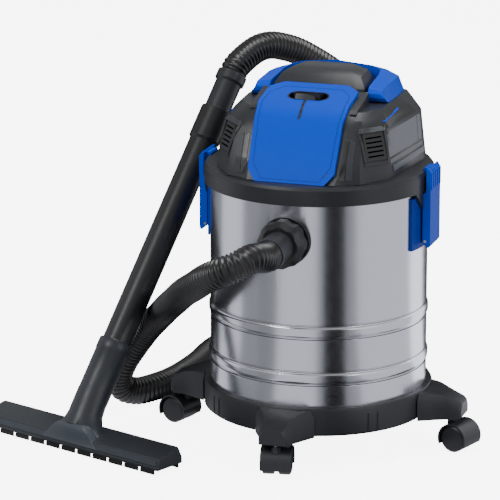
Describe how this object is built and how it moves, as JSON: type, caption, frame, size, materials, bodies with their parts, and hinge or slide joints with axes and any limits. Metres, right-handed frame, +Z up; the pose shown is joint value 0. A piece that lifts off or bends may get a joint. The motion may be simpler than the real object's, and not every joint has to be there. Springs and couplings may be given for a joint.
{
  "type": "shop vacuum",
  "caption": "Wheeled wet-and-dry shop vacuum: polished steel drum, latched motor head with filter, suction hose, wand and wide floor nozzle.",
  "frame": {"origin": "centre of the base plate's flat underside, 50 mm above the floor, on the drum's axis", "axes": "+Z up along the drum's axis, -Y is the front, where the hose inlet is, +X is the operator's right when facing +Y"},
  "size_m": [0.735, 0.8818, 0.5603],
  "materials": {
    "base": "moulded, fine texture",
    "inlet_socket": "moulded, fine texture",
    "inlet_cuff": "moulded, fine texture",
    "lock_collar": "moulded, fine texture",
    "lid": "moulded, fine texture",
    "head_housing": "moulded, fine texture",
    "vent_grille_right": "moulded, fine texture",
    "vent_grille_left": "moulded, fine texture",
    "hose_cuff": "moulded, fine texture",
    "nozzle_body": "moulded, fine texture",
    "drum": "polished stainless steel",
    "bearing_lower": "polished stainless steel",
    "bearing_upper": "polished stainless steel",
    "impeller": "polished stainless steel",
    "latch_pin_right": "polished stainless steel",
    "latch_pin_left": "polished stainless steel",
    "handle_pin_right": "polished stainless steel",
    "handle_pin_left": "polished stainless steel",
    "cord_gland": "moulded rubber",
    "drum_gasket": "moulded rubber",
    "nozzle_blade_front": "moulded rubber",
    "nozzle_blade_rear": "moulded rubber",
    "latch_bracket_right": "moulded, satin gloss",
    "latch_bracket_left": "moulded, satin gloss",
    "front_panel": "moulded, satin gloss",
    "carry_handle": "moulded, satin gloss",
    "latch_right": "moulded, satin gloss",
    "latch_left": "moulded, satin gloss",
    "top_cover": "moulded, fine texture",
    "filter_cage": "moulded, fine texture",
    "switch_cup": "moulded, fine texture",
    "fan_housing": "moulded, fine texture",
    "power_rocker": "moulded, satin",
    "hose": "moulded, satin",
    "wand_tube": "moulded, satin",
    "float": "moulded, smooth",
    "cooling_fan": "moulded, smooth",
    "filter_sleeve": "pleated filter cloth",
    "motor_can": "zinc plated",
    "motor_rotor": "enamelled copper windings",
    "front_caster_stem": "zinc plated",
    "front_caster_axle": "zinc plated",
    "front_caster_hood": "moulded, fine texture",
    "front_wheel_a": "moulded, satin",
    "front_wheel_b": "moulded, satin",
    "right_caster_stem": "zinc plated",
    "right_caster_axle": "zinc plated",
    "right_caster_hood": "moulded, fine texture",
    "right_wheel_a": "moulded, satin",
    "right_wheel_b": "moulded, satin",
    "back_caster_stem": "zinc plated",
    "back_caster_axle": "zinc plated",
    "back_caster_hood": "moulded, fine texture",
    "back_wheel_a": "moulded, satin",
    "back_wheel_b": "moulded, satin",
    "left_caster_stem": "zinc plated",
    "left_caster_axle": "zinc plated",
    "left_caster_hood": "moulded, fine texture",
    "left_wheel_a": "moulded, satin",
    "left_wheel_b": "moulded, satin"
  },
  "bodies": {
    "drum_body": {"base": "base", "drum": "drum", "drum_gasket": "drum_gasket", "inlet_socket": "inlet_socket", "inlet_cuff": "inlet_cuff", "latch_bracket_right": "latch_bracket_right", "latch_bracket_left": "latch_bracket_left", "latch_pin_right": "latch_pin_right", "latch_pin_left": "latch_pin_left", "hose": "hose", "hose_cuff": "hose_cuff"},
    "collar": {"lock_collar": "lock_collar"},
    "head": {"lid": "lid", "head_housing": "head_housing", "front_panel": "front_panel", "top_cover": "top_cover", "vent_grille_right": "vent_grille_right", "vent_grille_left": "vent_grille_left", "switch_cup": "switch_cup", "cord_gland": "cord_gland", "fan_housing": "fan_housing", "motor_can": "motor_can", "bearing_lower": "bearing_lower", "bearing_upper": "bearing_upper", "filter_cage": "filter_cage", "filter_sleeve": "filter_sleeve", "handle_pin_right": "handle_pin_right", "handle_pin_left": "handle_pin_left"},
    "latch_lever_right": {"latch_right": "latch_right"},
    "latch_lever_left": {"latch_left": "latch_left"},
    "rotor": {"motor_rotor": "motor_rotor", "impeller": "impeller", "cooling_fan": "cooling_fan"},
    "float_valve": {"float": "float"},
    "handle": {"carry_handle": "carry_handle"},
    "rocker": {"power_rocker": "power_rocker"},
    "wand": {"wand_tube": "wand_tube"},
    "nozzle": {"nozzle_body": "nozzle_body", "nozzle_blade_front": "nozzle_blade_front", "nozzle_blade_rear": "nozzle_blade_rear"},
    "front_swivel": {"front_caster_stem": "front_caster_stem", "front_caster_hood": "front_caster_hood"},
    "front_wheels": {"front_caster_axle": "front_caster_axle", "front_wheel_a": "front_wheel_a", "front_wheel_b": "front_wheel_b"},
    "right_swivel": {"right_caster_stem": "right_caster_stem", "right_caster_hood": "right_caster_hood"},
    "right_wheels": {"right_caster_axle": "right_caster_axle", "right_wheel_a": "right_wheel_a", "right_wheel_b": "right_wheel_b"},
    "back_swivel": {"back_caster_stem": "back_caster_stem", "back_caster_hood": "back_caster_hood"},
    "back_wheels": {"back_caster_axle": "back_caster_axle", "back_wheel_a": "back_wheel_a", "back_wheel_b": "back_wheel_b"},
    "left_swivel": {"left_caster_stem": "left_caster_stem", "left_caster_hood": "left_caster_hood"},
    "left_wheels": {"left_caster_axle": "left_caster_axle", "left_wheel_a": "left_wheel_a", "left_wheel_b": "left_wheel_b"}
  },
  "joints": [
    {"name": "collar_turn", "type": "hinge", "parent": "drum_body", "child": "collar", "pos_m": [0, -0.18, 0.29], "axis": [0, -1, 0], "range_deg": [0, 60]},
    {"name": "front_swivel_turn", "type": "hinge", "parent": "drum_body", "child": "front_swivel", "pos_m": [0, -0.207, 0], "axis": [0, 0, 1], "continuous": true},
    {"name": "front_wheel_spin", "type": "hinge", "parent": "front_swivel", "child": "front_wheels", "pos_m": [-0.00217, -0.19469, -0.03], "axis": [-0.9848, -0.1736, 0], "continuous": true},
    {"name": "right_swivel_turn", "type": "hinge", "parent": "drum_body", "child": "right_swivel", "pos_m": [0.207, 0, 0], "axis": [0, 0, 1], "continuous": true},
    {"name": "right_wheel_spin", "type": "hinge", "parent": "right_swivel", "child": "right_wheels", "pos_m": [0.21895, -0.00365, -0.03], "axis": [0.2924, 0.9563, 0], "continuous": true},
    {"name": "back_swivel_turn", "type": "hinge", "parent": "drum_body", "child": "back_swivel", "pos_m": [0, 0.207, 0], "axis": [0, 0, 1], "continuous": true},
    {"name": "back_wheel_spin", "type": "hinge", "parent": "back_swivel", "child": "back_wheels", "pos_m": [0.00428, 0.21875, -0.03], "axis": [-0.9397, 0.342, 0], "continuous": true},
    {"name": "left_swivel_turn", "type": "hinge", "parent": "drum_body", "child": "left_swivel", "pos_m": [-0.207, 0, 0], "axis": [0, 0, 1], "continuous": true},
    {"name": "left_wheel_spin", "type": "hinge", "parent": "left_swivel", "child": "left_wheels", "pos_m": [-0.21895, 0.00365, -0.03], "axis": [-0.2924, -0.9563, 0], "continuous": true},
    {"name": "head_lift", "type": "slide", "parent": "drum_body", "child": "head", "axis": [0, 0, 1], "range_m": [0, 0.18]},
    {"name": "latch_open_right", "type": "hinge", "parent": "drum_body", "child": "latch_lever_right", "pos_m": [0.1685, 0, 0.2683], "axis": [0, 1, 0], "range_deg": [0, 40]},
    {"name": "latch_open_left", "type": "hinge", "parent": "drum_body", "child": "latch_lever_left", "pos_m": [-0.1685, 0, 0.2683], "axis": [0, -1, 0], "range_deg": [0, 40]},
    {"name": "rotor_spin", "type": "hinge", "parent": "head", "child": "rotor", "pos_m": [0, 0, 0.4], "axis": [0, 0, 1], "continuous": true},
    {"name": "float_rise", "type": "slide", "parent": "head", "child": "float_valve", "axis": [0, 0, 1], "range_m": [0, 0.02]},
    {"name": "handle_raise", "type": "hinge", "parent": "head", "child": "handle", "pos_m": [0, 0.0015, 0.4745], "axis": [1, 0, 0], "range_deg": [0, 90]},
    {"name": "power_switch", "type": "hinge", "parent": "head", "child": "rocker", "pos_m": [0, -0.0532, 0.47319], "axis": [1, 0, 0], "range_deg": [0, 16]},
    {"name": "wand_twist", "type": "hinge", "parent": "drum_body", "child": "wand", "pos_m": [-0.1838, 0.1516, 0.456], "axis": [0.2229, 0.5516, 0.8038], "continuous": true},
    {"name": "nozzle_twist", "type": "hinge", "parent": "wand", "child": "nozzle", "pos_m": [-0.1838, 0.1516, 0.456], "axis": [0.2229, 0.5516, 0.8038], "continuous": true}
  ],
  "couplings": [
    {"joint": "latch_open_right", "follows": "head_lift", "rad_per_m": 3.878},
    {"joint": "latch_open_left", "follows": "head_lift", "rad_per_m": 3.878},
    {"joint": "nozzle_twist", "follows": "wand_twist", "ratio": -1}
  ]
}
